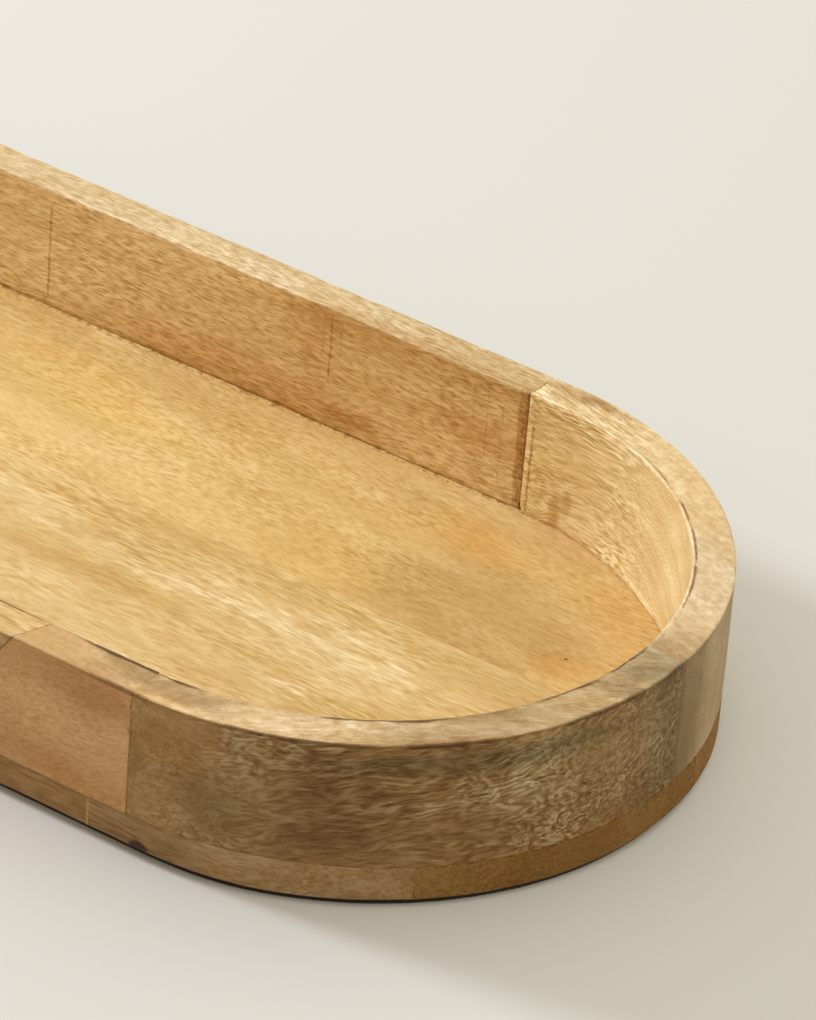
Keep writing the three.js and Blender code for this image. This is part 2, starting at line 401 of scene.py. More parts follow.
# ------------------------------------------------------------------ base boards
def base_board(name, kind, seed, nu, nv, seam=0.03):
    """A board of the base. kind says which of its edges are seams and which lie on the outline."""
    u, v = np.meshgrid(np.linspace(0, 1, nu), np.linspace(0, 1, nv), indexing="ij")

    def plan(u, v, d, s):
        rr = R - d
        if kind == "back" or kind.startswith("front"):
            y0 = 20.0 + s if kind == "back" else 70.0 + s
            t0 = np.arcsin(y0 / rr)
            t = t0 + (math.pi / 2 - t0) * v
            y, reach = rr * np.sin(t), C + rr * np.cos(t)
            x0, x1 = -reach, reach
            if kind == "front_long":
                x1 = 129.0 - s + 0 * reach
            if kind == "front_short":
                x0 = 129.0 + s + 0 * reach
            return x0 + (x1 - x0) * u, y if kind == "back" else -y
        y = (-70.0 + s) + (90.0 - 2 * s) * v
        reach = C + np.sqrt(rr * rr - y * y)
        return reach * (2 * u - 1), y

    # boundary of the grid, in order
    ring = ([(i, 0) for i in range(nu)] + [(nu - 1, j) for j in range(1, nv)]
            + [(i, nv - 1) for i in range(nu - 2, -1, -1)] + [(0, j) for j in range(nv - 2, 0, -1)])
    ri = np.array(ring)
    ru, rv = u[ri[:, 0], ri[:, 1]], v[ri[:, 0], ri[:, 1]]
    rx, ry = plan(ru, rv, 0.0, 0.0)

    # the lower edge: its rounding changes along the outline, and along the front it is planed up
    def planed(x, y):
        return 1.3 * smooth(180, 138, x) * smooth(-180, -138, x) * smooth(-60, -92, y)

    foot = np.clip(0.62 + 0.2 * noise(rx / 40, ry / 40, seed=seed) + 0.2 * noise(rx / 9, ry / 9, seed=seed + 1), 0.25, 1.2)
    lift = planed(rx, ry)
    lip = np.clip(0.16 + 0.12 * noise(rx / 6, ry / 6, seed=seed + 2) + 0.1 * noise(rx / 2, ry / 2, seed=seed + 3), 0.03, 0.5)
    face = 0.2 - 0.10 * noise(rx / 30, ry / 30, seed=seed + 4) - 0.06 * noise(rx / 7, ry / 7, seed=seed + 5)

    levels = []  # (height, inset on the outline, inset at a seam)
    for a in (0, 20, 40, 60, 80):
        k = math.radians(a)
        levels.append((FELT + 0.02 + lift + foot * (1 - math.cos(k)), face + foot * (1 - math.sin(k)), seam + 0.1))
    for z in (FELT + 4.0, FELT + 5.4, FELT + 6.8, FELT + 8.4):
        levels.append((z + 0 * foot, face + 0.05 * noise(rx / 6, ry / 6 + z, seed=seed + 6), seam))
    levels.append((FLOOR - lip, face, seam))
    levels.append((FLOOR - 0.3 * lip, face + 0.3 * lip, seam + 0.01))
    levels.append((FLOOR + 0 * lip, face + lip, seam + 0.03))

    verts, faces = [], []
    rows = []
    for z, d, s in levels:
        x, y = plan(ru, rv, d, s)
        rows.append(len(verts))
        verts += np.stack([x, y, z + 0 * x], 1).tolist()
    n = len(ring)
    for a, b in zip(rows[:-1], rows[1:]):
        for k in range(n):
            m = (k + 1) % n
            faces.append((a + k, a + m, b + m, b + k))
    for row, (z, d, s), up in ((rows[0], levels[0], False), (rows[-1], levels[-1], True)):
        # grid inside the ring, which keeps the ring's own points on its boundary
        ids = -np.ones((nu, nv), int)
        for k, (i, j) in enumerate(ring):
            ids[i, j] = row + k
        x, y = plan(u, v, 0.3 if up else 1.3, s)
        wave = 0.05 * noise(x / 45, y / 18, seed=seed + 7) + 0.02 * noise(x / 9, y / 4, seed=seed + 8)
        if up:
            zz = FLOOR - 0.07 + wave
        else:
            inset = R - np.hypot(np.maximum(np.abs(x) - C, 0), y)
            zz = FELT + 0.02 + 0.3 * np.abs(wave) + planed(x, y) * np.clip(1 - (inset - 1.0) / 7.0, 0, 1)
        edge = np.minimum(np.minimum(u * (nu - 1), (1 - u) * (nu - 1)), np.minimum(v * (nv - 1), (1 - v) * (nv - 1)))
        for i in range(1, nu - 1):
            for j in range(1, nv - 1):
                ids[i, j] = len(verts)
                verts.append([x[i, j], y[i, j], zz[i, j]])
        for i in range(nu - 1):
            for j in range(nv - 1):
                f = (ids[i, j], ids[i + 1, j], ids[i + 1, j + 1], ids[i, j + 1])
                faces.append(f if up else f[::-1])
    return make_object(name, verts, faces)


add(base_board("base_back", "back", 1100, 230, 42), "base_board_back")
add(base_board("base_middle", "middle", 1200, 230, 46), "base_board_middle")
add(base_board("base_front_long", "front_long", 1300, 170, 24), "base_board_front_long")
add(base_board("base_front_short", "front_short", 1400, 56, 24), "base_board_front_short")


# ------------------------------------------------------------------ felt lining, whose dark edge stands in for the contact shadow under the dish (painted shade)
def felt_sheet_and_contact_shade(name, seed, inset=2.1, n=760):
    """A thin felt sheet of the dish's outline, with a soft, slightly uneven cut edge. Its dark edge, seen under the
    base, stands in for the contact shadow there (painted shade).
    """
    q = np.linspace(0, LOOP, n, endpoint=False)
    verts, faces, rows = [], [], []
    for d, z in ((-5.0, FELT - 0.02), (-1.2, FELT - 0.02), (0.0, FELT - 0.04), (0.07, FELT - 0.14), (0.10, FELT * 0.5),
                 (0.06, 0.12), (-0.08, 0.03), (-1.2, 0.005), (-5.0, 0.005)):
        uneven = 0.10 * noise(q / 23, seed=seed) + 0.05 * noise(q / 1.7, z, seed=seed + 1)
        x, y = along(q, R - inset + 0 * q)
        further = 1.7 * smooth(176, 138, x) * smooth(-176, -138, x) * smooth(-60, -90, y)
        x, y = along(q, R - inset + d - further + (uneven if d > -1 else 0))
        rows.append(len(verts))
        verts += np.stack([x, y, z + 0 * x], 1).tolist()
    for a, b in zip(rows[:-1], rows[1:]):
        for k in range(n):
            m = (k + 1) % n
            faces.append((a + k, a + m, b + m, b + k))
    faces.append(tuple(range(rows[0], rows[0] + n)))
    faces.append(tuple(range(rows[-1], rows[-1] + n))[::-1])
    return make_object(name, verts, faces, sharp=60)


add(felt_sheet_and_contact_shade("felt_under_and_contact_shade", 1500), "felt_lining")


# ------------------------------------------------------------------ materials
def lin(r, g, b):
    """Linear colour from 8-bit display values."""
    f = lambda c: c / 255 / 12.92 if c <= 10 else ((c / 255 + 0.055) / 1.055) ** 2.4
    return (f(r), f(g), f(b))


class Tree:
    """A small writer of node trees: each method adds a node and gives back its output socket."""

    def __init__(self, name):
        self.mat = bpy.data.materials.new(name)
        self.mat.use_nodes = True
        self.nt = self.mat.node_tree
        self.nt.nodes.clear()
        self.out = self.nt.nodes.new("ShaderNodeOutputMaterial")
        self.bsdf = self.nt.nodes.new("ShaderNodeBsdfPrincipled")
        self.nt.links.new(self.bsdf.outputs["BSDF"], self.out.inputs["Surface"])

    def new(self, kind, **props):
        n = self.nt.nodes.new(kind)
        for k, v in props.items():
            setattr(n, k, v)
        return n

    def put(self, socket, v):
        if isinstance(v, bpy.types.NodeSocket):
            self.nt.links.new(v, socket)
        elif isinstance(v, (tuple, list)) and socket.type == "RGBA":
            socket.default_value = (*v[:3], 1.0)
        else:
            socket.default_value = v

    def math(self, op, a, b=None, c=None, clamp=False):
        n = self.new("ShaderNodeMath", operation=op, use_clamp=clamp)
        for s, v in zip(n.inputs, (a, b, c)):
            if v is not None:
                self.put(s, v)
        return n.outputs[0]

    def mul(self, a, b):
        return self.math("MULTIPLY", a, b)

    def add(self, a, b):
        return self.math("ADD", a, b)

    def vec(self, op, a, b=None, scale=None):
        n = self.new("ShaderNodeVectorMath", operation=op)
        self.put(n.inputs[0], a)
        if b is not None:
            self.put(n.inputs[1], b)
        if scale is not None:
            self.put(n.inputs["Scale"], scale)
        return n.outputs["Value"] if op in ("LENGTH", "DOT_PRODUCT") else n.outputs["Vector"]

    def split(self, v):
        n = self.new("ShaderNodeSeparateXYZ")
        self.put(n.inputs[0], v)
        return n.outputs[0], n.outputs[1], n.outputs[2]

    def join(self, x, y, z):
        n = self.new("ShaderNodeCombineXYZ")
        for s, v in zip(n.inputs, (x, y, z)):
            self.put(s, v)
        return n.outputs[0]

    def mapping(self, v, loc=(0, 0, 0), rot=(0, 0, 0), scale=(1, 1, 1), kind="POINT"):
        n = self.new("ShaderNodeMapping", vector_type=kind)
        self.put(n.inputs["Vector"], v)
        n.inputs["Location"].default_value = loc
        n.inputs["Rotation"].default_value = [math.radians(a) for a in rot]
        n.inputs["Scale"].default_value = scale
        return n.outputs[0]

    def noise(self, v, scale=1.0, detail=2.0, rough=0.5, dist=0.0, color=False):
        n = self.new("ShaderNodeTexNoise", noise_dimensions="3D")
        self.put(n.inputs["Vector"], v)
        n.inputs["Scale"].default_value = scale
        n.inputs["Detail"].default_value = detail
        n.inputs["Roughness"].default_value = rough
        n.inputs["Distortion"].default_value = dist
        return n.outputs["Color"] if color else n.outputs["Fac"]

    def remap(self, v, a, b, lo=0.0, hi=1.0, smoothstep=True):
        n = self.new("ShaderNodeMapRange", interpolation_type="SMOOTHSTEP" if smoothstep else "LINEAR", clamp=True)
        self.put(n.inputs["Value"], v)
        n.inputs["From Min"].default_value = a
        n.inputs["From Max"].default_value = b
        n.inputs["To Min"].default_value = lo
        n.inputs["To Max"].default_value = hi
        return n.outputs["Result"]

    def ramp(self, fac, stops):
        n = self.new("ShaderNodeValToRGB")
        cr = n.color_ramp
        cr.interpolation = "EASE"
        while len(cr.elements) < len(stops):
            cr.elements.new(0.5)
        for e, (p, c) in zip(cr.elements, stops):
            e.position = p
            e.color = (*c, 1.0)
        self.put(n.inputs[0], fac)
        return n.outputs[0]

    def mix(self, fac, a, b, mode="MIX"):
        n = self.new("ShaderNodeMix", data_type="RGBA", blend_type=mode, clamp_factor=True)
        self.put(n.inputs["Factor"], fac)
        self.put(n.inputs[6], a)
        self.put(n.inputs[7], b)
        return n.outputs[2]


CHROMA = (0.73, 1.07, 1.80)  # how much more the blue of this wood changes than its red, light to dark


def wood(name, seed, colour, tilt=0.0, rise=0.0, mottle=0.05, figure=0.07, fig_turn=0.0, fig_scale=(0.007, 0.075, 0.04), cloud=0.08, warm=0.35,
         streak=0.05, dash=0.10, along_x=0.09, across=0.75, wave=2.0, even=0.5, fine=0.9, pore=0.4, outer=None,
         outer_dash=1.0, inner=None, inner_dash=1.0, calm=None, rim=None, rim_dash=1.0, rings=None, edge_in=None,
         edge_out=None, foot=0.0, corner=0.0, groove=None, stains_and_highlights=(), lines=(), rough=0.60, gloss=0.32):
    """Open-pored hardwood. Colours are linear, tilt is the turn of its fibres in plan and rise their
    slope along the dish, in degrees. mottle is how blotchy the sanded rim is.
    outer, inner and rim tint those faces; the dark outer tints are partly darker wood and partly painted shade on the
    outside walls. edge_in and edge_out tint the two rim edges; a pale inner edge is partly worn wood and partly a
    painted highlight. groove paints shade into the fine groove beside the inner rim edge. foot paints shade into the
    corner of the inner wall with the floor, corner the specks on the floor along it. Heights are above the inside
    floor. stains_and_highlights are soft patches, stains and one painted highlight (centre, radii, turn, edge,
    raggedness, tint, amount), lines are thin marks (lowest corner, highest corner, softness, tint, amount, brokenness)."""
    t = Tree(name)
    co = t.new("ShaderNodeTexCoord").outputs["Object"]
    P = t.vec("SUBTRACT", t.vec("SCALE", co, scale=1000.0), (0.0, 0.0, FLOOR))  # millimetres
    px, py, pz = t.split(P)
    V = t.mapping(P, loc=(seed * 37.1, seed * 11.7, seed * 23.3), rot=(0, rise, -tilt))

    # slow wander of the fibres, then the small waves in them
    half = (0.5, 0.5, 0.5)
    w = t.vec("SUBTRACT", t.noise(t.mapping(V, scale=(0.011, 0.03, 0.03)), detail=1, color=True), half)
    V1 = t.vec("ADD", V, t.vec("MULTIPLY", w, (0.0, 10.0, 10.0)))
    w2 = t.vec("SUBTRACT", t.noise(t.mapping(V1, scale=(0.07, 0.16, 0.16)), detail=1, color=True), half)
    V2 = t.vec("ADD", V1, t.vec("MULTIPLY", w2, (0.0, wave, wave)))

    # where on the dish: outside and inside faces, rim
    dx = t.math("MAXIMUM", t.math("SUBTRACT", t.math("ABSOLUTE", px), C), 0.0)
    rho = t.math("SQRT", t.add(t.mul(dx, dx), t.mul(py, py)))
    under = t.remap(pz, 37.75, 37.3)
    outside = t.mul(t.remap(rho, 99.2, 99.6), under)
    inside = t.mul(t.remap(rho, 89.2, 88.5), under)
    on_rim = t.remap(pz, 37.0, 37.6)

    n1 = t.noise(t.mapping(V1, scale=(0.010, 0.030, 0.030)), detail=3, rough=0.55)
    n2 = t.noise(t.mapping(V1, loc=(7.3, 2.1, 5.5), scale=(0.017, 0.05, 0.05)), detail=2, rough=0.6)
    n3 = t.noise(t.mapping(V1, loc=(1.7, 9.2, 3.1), scale=(0.008, 0.22, 0.22)), detail=3, rough=0.6)
    n4 = t.noise(t.mapping(V2, scale=(along_x, across, across)), detail=1.0, rough=0.5)
    n5 = t.noise(t.mapping(V2, loc=(4.0, 8.0, 1.0), scale=(along_x * 1.8, across * 1.9, across * 1.9)), detail=0.6, rough=0.5)
    n6 = t.noise(t.mapping(V1, loc=(3.3, 5.1, 9.9), scale=(0.024, 0.06, 0.06)), detail=1)
    n7 = t.noise(t.mapping(V2, loc=(6.6, 1.2, 2.2), scale=(1.3, 2.2, 2.2)), detail=0)
    rag = t.math("SUBTRACT", t.noise(t.mapping(V1, loc=(9.1, 4.4, 0.7), scale=(0.06, 0.20, 0.20)), detail=4, rough=0.65), 0.5)

    # lightness, from broad to fine
    s = t.mul(t.remap(n1, 0.3, 0.7, -1.0, 1.0), cloud)
    if figure:
        turned = t.mapping(V1, loc=(2.2, 6.1, 1.4), rot=(0, 0, -fig_turn))
        f = t.noise(t.mapping(turned, scale=fig_scale), detail=2, rough=0.55)
        s = t.add(s, t.mul(t.remap(f, 0.36, 0.64, -1.0, 1.0), figure))
    if rings:
        cx, cz, spacing, depth = rings
        d2 = t.vec("ADD", P, t.vec("MULTIPLY", w, (9.0, 9.0, 7.0)))
        rr = t.vec("LENGTH", t.vec("MULTIPLY", t.vec("SUBTRACT", d2, (cx, 0.0, cz)), (1.0, 0.0, 1.3)))
        band = t.noise(t.join(t.mul(rr, 1.0 / spacing), t.mul(py, 0.02), 0.0), detail=2, rough=0.6)
        s = t.add(s, t.mul(t.remap(band, 0.34, 0.66, -1.0, 1.0), t.mul(inside, depth)))
    s = t.add(s, t.mul(t.remap(n3, 0.3, 0.7, -1.0, 1.0), streak))
    amp = t.remap(n6, 0.36, 0.64, even, 1.0)
    for mask, k in ((outside, outer_dash), (inside, inner_dash), (on_rim, rim_dash)):
        if k != 1.0:
            amp = t.mul(amp, t.remap(mask, 0.0, 1.0, 1.0, k, False))
    if calm:
        amp = t.mul(amp, t.remap(px, calm[0], calm[1], 1.0, calm[2]))
    coarse = t.remap(n4, 0.38, 0.62, -1.0, 1.0)
    small = t.remap(n5, 0.38, 0.62, -1.0, 1.0)
    d = t.mul(t.add(coarse, t.mul(small, fine)), amp)
    s = t.add(s, t.mul(d, dash))
    s = t.add(s, t.remap(n7, 0.25, 0.75, -0.012, 0.012, False))
    if mottle:
        blot = t.noise(t.mapping(V1, loc=(5.5, 0.3, 8.8), scale=(0.30, 0.42, 0.42)), detail=4, rough=0.72)
        s = t.add(s, t.mul(t.remap(blot, 0.34, 0.66, -1.0, 1.0), t.mul(on_rim, mottle)))
    light = t.math("EXPONENT", s)
    shade = t.join(*(t.math("POWER", light, k) for k in CHROMA))
    col = t.vec("MULTIPLY", shade, colour)
    col = t.mix(t.mul(t.remap(n2, 0.48, 0.66), warm), col, (0.99, 0.89, 0.74), "MULTIPLY")
    # tints of the outside, inside and rim faces; the dark outer tints are partly darker wood and partly painted shade
    # on the outside walls
    for mask, tint in ((outside, outer), (inside, inner), (on_rim, rim)):
        if tint is not None:
            col = t.mix(mask, col, tint, "MULTIPLY")

    # soft patches: stains, and one painted highlight
    for centre, radii, turn, edge, ragged, tint, amount in stains_and_highlights:
        m = t.mapping(P, loc=centre, rot=(0, 0, turn), scale=radii, kind="TEXTURE")
        dist = t.add(t.vec("LENGTH", m), t.mul(rag, ragged))
        col = t.mix(t.mul(t.remap(dist, 1.0 + edge, 1.0 - edge), amount), col, tint, "MULTIPLY")

    pores = t.mul(t.remap(n5, 0.38, 0.28), amp)
    col = t.mix(t.mul(pores, pore), col, (0.58, 0.43, 0.27), "MULTIPLY")

    ragged_rho = t.add(rho, t.mul(rag, 3.0))
    patchy = t.remap(n6, 0.42, 0.56, 0.12, 1.0)
    # tint along the inner rim edge; the pale edge tint is partly worn wood and partly a painted highlight
    if edge_in is not None:
        tint, amount, width, span = edge_in
        m = t.mul(t.remap(ragged_rho, 88.9 + width, 88.4 + width), t.remap(pz, 36.9, 37.4))
        m = t.mul(m, patchy)
        if span:
            m = t.mul(m, t.mul(t.remap(px, span[0] - 6, span[0] + 6), t.remap(px, span[1] + 6, span[1] - 6)))
        col = t.mix(t.mul(m, amount), col, tint, "MULTIPLY")
    # painted shade inside the fine groove beside the inner rim edge
    if groove is not None:
        x0, x1, amount = groove
        m = t.mul(t.remap(rho, 88.85, 89.0), t.remap(rho, 89.75, 89.5))
        m = t.mul(t.mul(m, on_rim), t.mul(t.remap(px, x0 - 5, x0 + 5), t.remap(px, x1 + 5, x1 - 5)))
        col = t.mix(t.mul(t.mul(m, t.remap(rag, -0.12, 0.02)), amount), col, (0.40, 0.28, 0.18), "MULTIPLY")
    if edge_out is not None:
        tint, amount = edge_out
        m = t.mul(t.remap(rho, 99.2, 99.5), t.remap(t.add(pz, t.mul(rag, 2.0)), 36.3, 36.8))
        col = t.mix(t.mul(t.mul(m, patchy), amount), col, tint, "MULTIPLY")
    # painted shade along the foot of the inner wall, in its corner with the floor
    if foot:
        m = t.mul(inside, t.remap(t.add(pz, t.mul(rag, 5.0)), 1.3, 0.3))
        col = t.mix(t.mul(m, foot), col, (0.60, 0.42, 0.24), "MULTIPLY")

    if corner:
        specks = t.noise(t.mapping(P, loc=(2.0, 7.0, 0.0), scale=(0.55, 0.55, 0.55)), detail=3, rough=0.7)
        near = t.mul(t.remap(t.add(rho, t.mul(rag, 2.5)), 86.0, 87.6), t.remap(pz, -0.8, -0.4))
        col = t.mix(t.mul(t.mul(near, t.remap(specks, 0.50, 0.58)), corner), col, (0.60, 0.44, 0.27), "MULTIPLY")
        col = t.mix(t.mul(t.mul(near, t.remap(specks, 0.45, 0.38)), corner), col, (1.16, 1.22, 1.34), "MULTIPLY")

    if lines:
        wob = t.math("SUBTRACT", t.noise(t.mapping(P, scale=(0.5, 0.5, 0.22)), detail=3, rough=0.6), 0.5)
        gaps = t.remap(t.noise(t.mapping(P, loc=(3.0, 1.0, 2.0), scale=(0.9, 0.5, 0.55)), detail=2), 0.44, 0.56)
    for lo, hi, soft, tint, amount, broken in lines:
        m = None
        for axis, a, b in zip((px, py, pz), lo, hi):
            v = t.add(axis, t.mul(wob, 4.0 * soft))
            kk = t.mul(t.remap(v, a - soft, a + soft), t.remap(v, b + soft, b - soft))
            m = kk if m is None else t.mul(m, kk)
        if broken:
            m = t.mul(m, t.remap(gaps, 0.0, 1.0, 1.0 - broken, 1.0, False))
        col = t.mix(t.mul(m, amount), col, tint, "MULTIPLY")

    t.put(t.bsdf.inputs["Base Color"], col)
    t.put(t.bsdf.inputs["Roughness"], t.add(t.remap(d, -1.0, 1.0, rough + 0.10, rough - 0.06, False), t.mul(pores, 0.10)))
    t.bsdf.inputs["Specular IOR Level"].default_value = gloss
    bump = t.new("ShaderNodeBump")
    bump.inputs["Strength"].default_value = 0.4
    bump.inputs["Distance"].default_value = 0.0002
    height = t.add(t.add(t.mul(coarse, 0.35), t.mul(small, 0.35)), t.add(t.mul(pores, -0.8), t.mul(n7, 0.2)))
    t.put(bump.inputs["Height"], height)
    t.put(t.bsdf.inputs["Normal"], bump.outputs[0])
    return t.mat


def felt_and_contact_shade(name):
    # dark felt, whose colour also stands in for the contact shadow under the dish (painted shade)
    t = Tree(name)
    P = t.vec("SCALE", t.new("ShaderNodeTexCoord").outputs["Object"], scale=1000.0)
    a = t.noise(t.mapping(P, scale=(2.2, 2.2, 2.2)), detail=5, rough=0.75, dist=1.5)
    b = t.noise(t.mapping(P, scale=(0.35, 0.35, 0.35)), detail=2)
    col = t.ramp(a, [(0.25, lin(28, 22, 16)), (0.55, lin(44, 35, 26)), (0.8, lin(62, 51, 40))])
    col = t.vec("SCALE", col, scale=t.remap(b, 0.3, 0.7, 0.85, 1.15))
    t.put(t.bsdf.inputs["Base Color"], col)
    t.bsdf.inputs["Roughness"].default_value = 0.95
    t.bsdf.inputs["Specular IOR Level"].default_value = 0.15
    t.bsdf.inputs["Sheen Weight"].default_value = 0.12
    bump = t.new("ShaderNodeBump")
    bump.inputs["Strength"].default_value = 0.8
    bump.inputs["Distance"].default_value = 0.0003
    t.put(bump.inputs["Height"], a)
    t.put(t.bsdf.inputs["Normal"], bump.outputs[0])
    return t.mat


HONEY = (0.735, 0.490, 0.185)
STRAW = (0.685, 0.465, 0.190)
TAN = (0.708, 0.467, 0.194)
PALE = (0.760, 0.560, 0.270)
GREY = (0.600, 0.420, 0.200)
PINK = (0.690, 0.440, 0.200)
BROWN = (0.620, 0.410, 0.170)
# pale inner rim edge: partly worn wood, partly a painted highlight where light catches the eased edge
WORN_EDGE_AND_HIGHLIGHT = ((1.18, 1.25, 1.40), 0.9, 0.3, None)
DARK_EDGE = ((0.28, 0.22, 0.16), 0.95, 0.6, None)
DARK_LIP = ((0.50, 0.42, 0.35), 0.9)

materials = {}
materials["base_board_back"] = wood(
    "wood_base_back", 1, HONEY, rough=0.70, gloss=0.14, corner=0.8, outer=(0.36, 0.26, 0.17), dash=0.09, figure=0.045, streak=0.02, fig_turn=-14, wave=1.8, along_x=0.2, across=0.7, pore=0.25,
    stains_and_highlights=[
        ((155, 36, 0), (34, 22, 9), -8, 0.4, 1.2, (0.79, 0.75, 0.71), 0.95),
        ((135, 68, 0), (18, 7, 9), -21, 0.5, 1.2, (1.0, 0.90, 0.74), 0.7),
        ((200, 46, 0), (24, 38, 9), 0, 0.45, 1.0, (0.97, 0.90, 0.84), 0.8),
        ((184, 30, 0), (8, 5, 9), 15, 0.5, 1.0, (1.0, 0.86, 0.68), 0.6),
        ((157, 80, 0), (13, 8, 9), 0, 0.6, 1.0, (0.93, 0.87, 0.86), 0.7),
        ((-4, 84, 0), (14, 4, 9), -12, 0.6, 1.0, (1.05, 1.10, 1.22), 0.8),
        ((32, 65, 0), (44, 2.6, 9), -16, 0.7, 0.8, (1.05, 1.10, 1.25), 0.8),
        ((10, 60, 0), (30, 12, 9), -14, 0.6, 1.0, (1.03, 1.0, 0.86), 0.8),
        ((60, 26, 0), (46, 10, 9), 0, 0.5, 3.5, (0.95, 0.91, 0.84), 0.8),
        ((60, 58, 0), (50, 16, 9), -8, 0.5, 3.5, (0.97, 0.94, 0.88), 0.8),
        ((186, 35, 0), (0.6, 0.5, 2), 0, 0.3, 0.2, (0.3, 0.22, 0.16), 0.8),
    ])
materials["base_board_middle"] = wood(
    "wood_base_middle", 2, STRAW, rough=0.70, gloss=0.14, corner=0.8, outer=(0.322, 0.238, 0.135), dash=0.105, figure=0.05, streak=0.04, fig_turn=-3, wave=1.6, along_x=0.13, across=0.8, pore=0.25,
    stains_and_highlights=[
        ((40, 20, 0), (96, 13, 9), 0, 0.6, 1.6, (0.98, 0.95, 0.86), 0.9),
        ((140, -10, 0), (30, 12, 9), -4, 0.35, 4.5, (1.10, 1.17, 1.36), 0.9),
        ((92, -38, 0), (50, 15, 9), 2, 0.35, 4.5, (1.12, 1.20, 1.42), 0.75),
        ((100, -2, 0), (26, 6, 9), 0, 0.35, 4.5, (1.08, 1.13, 1.27), 0.8),
        ((30, 3, 0), (22, 6, 9), 0, 0.3, 5.0, (1.10, 1.17, 1.36), 0.8),
        ((66, -5, 0), (20, 4.5, 9), 0, 0.3, 5.0, (1.10, 1.17, 1.36), 0.8),
        ((142, 7, 0), (20, 5, 9), 0, 0.3, 5.0, (1.10, 1.17, 1.36), 0.8),
        ((62, -14, 0), (24, 5, 9), 0, 0.5, 3.0, (0.95, 0.90, 0.80), 0.9),
        ((118, -36, 0), (12, 5, 9), 0, 0.5, 3.0, (0.93, 0.86, 0.75), 0.8),
        ((172, -22, 0), (14, 12, 9), 0, 0.5, 3.0, (0.98, 0.95, 0.90), 0.8),
        ((212, -70, -6), (14, 20, 9), 0, 0.7, 1.0, (1.22, 1.32, 1.5), 0.95),
    ])
materials["base_board_front_long"] = wood(
    "wood_base_front_long", 3, BROWN, outer=(0.484, 0.388, 0.270), dash=0.13,
    stains_and_highlights=[((125, -100, -3.5), (3.0, 3, 1.2), 0, 0.5, 1.6, (0.66, 0.56, 0.46), 0.6)],
    lines=[((128.2, -110, -12), (128.9, -90, -0.6), 0.16, (1.7, 1.8, 1.9), 0.9, 0.3)])
materials["base_board_front_short"] = wood(
    "wood_base_front_short", 4, BROWN, outer=(0.540, 0.478, 0.450), dash=0.17, cloud=0.16, streak=0.12,
    stains_and_highlights=[
        ((144.8, -100, -8.2), (2.6, 3, 1.7), 0, 0.3, 1.4, (0.22, 0.17, 0.16), 0.95),
        ((146, -99, -5), (18, 9, 9), 0, 0.6, 1.0, (0.76, 0.72, 0.62), 0.9),
        ((164, -97, -5), (9, 9, 3), 0, 0.6, 1.6, (1.25, 1.32, 1.45), 0.8),
        ((226, -51, -4), (20, 24, 6), 0, 0.6, 1.0, (0.86, 0.76, 0.50), 0.9),
    ])
materials["rail_back_right"] = materials["rail_back_left"] = wood(
    "wood_rail_back", 5, TAN, dash=0.14, even=0.72, rim_dash=0.9, outer=(0.6, 0.53, 0.46), edge_in=WORN_EDGE_AND_HIGHLIGHT, pore=0.45,
    rim=(0.95, 1.03, 1.23), mottle=0.08, rise=-2, along_x=0.19, across=0.85, wave=1.8, foot=0.7, streak=0.05,
    stains_and_highlights=[
        ((36, 88, 4), (44, 6, 8), 0, 0.5, 1.1, (0.88, 0.78, 0.66), 0.9),
        ((84, 88, 35), (34, 4, 5), 0, 0.5, 1.1, (0.87, 0.79, 0.68), 0.8),
        ((62, 88, 26), (9, 4, 16), 0, 0.6, 1.1, (0.88, 0.80, 0.70), 0.8),
        ((118, 88, 20), (14, 4, 18), 0, 0.6, 1.1, (0.95, 0.90, 0.84), 0.8),
        ((76, 88, 5), (10, 4, 3), 0, 0.5, 1.6, (0.80, 0.66, 0.50), 0.8),
        ((116, 94, 38), (26, 9, 3), 0, 0.6, 1.5, (0.87, 0.79, 0.67), 0.95),
    ],
    lines=[
        ((131.0, 80, -1), (135, 89.5, 37.6), 0.6, (0.56, 0.40, 0.20), 0.9, 0.35),
        ((132.4, 80, -1), (133.2, 89.5, 30), 0.4, (0.72, 0.52, 0.30), 0.7, 0.6),
        ((133.5, 80, -1), (135, 89.5, 37.6), 0.3, (0.46, 0.34, 0.23), 0.85, 0.15),
        ((67.2, 80, 14), (67.8, 89.5, 36.6), 0.3, (0.52, 0.37, 0.24), 0.85, 0.6),
        ((70.6, 80, 22), (71.1, 89.5, 36), 0.25, (0.66, 0.52, 0.38), 0.55, 0.9),
        ((120.6, 80, 12), (121.1, 89.5, 33), 0.25, (0.66, 0.52, 0.38), 0.55, 0.9),
        ((125.6, 80, 4), (126.2, 89.5, 30), 0.25, (0.64, 0.50, 0.36), 0.6, 0.9),
        ((64.6, 80, 20), (65.1, 89.5, 36), 0.25, (0.66, 0.52, 0.38), 0.6, 0.8),
        ((52.8, 80, 28), (53.3, 89.5, 36), 0.25, (0.62, 0.48, 0.34), 0.5, 1.0),
        ((116.0, 80, 20), (116.5, 89.5, 34), 0.25, (0.62, 0.48, 0.34), 0.5, 1.0),
        ((-31.7, 80, 3), (-31.0, 89.5, 33), 0.25, (0.48, 0.35, 0.22), 0.75, 0.5),
    ])
materials["rail_front_right"] = wood(
    "wood_rail_front_right", 7, TAN, dash=0.13, outer=(0.6, 0.52, 0.46), edge_in=DARK_EDGE, edge_out=DARK_LIP)
materials["rail_front_left"] = wood(
    "wood_rail_front_left", 8, TAN, dash=0.13, outer=(0.6, 0.53, 0.46), edge_in=DARK_EDGE, edge_out=DARK_LIP)
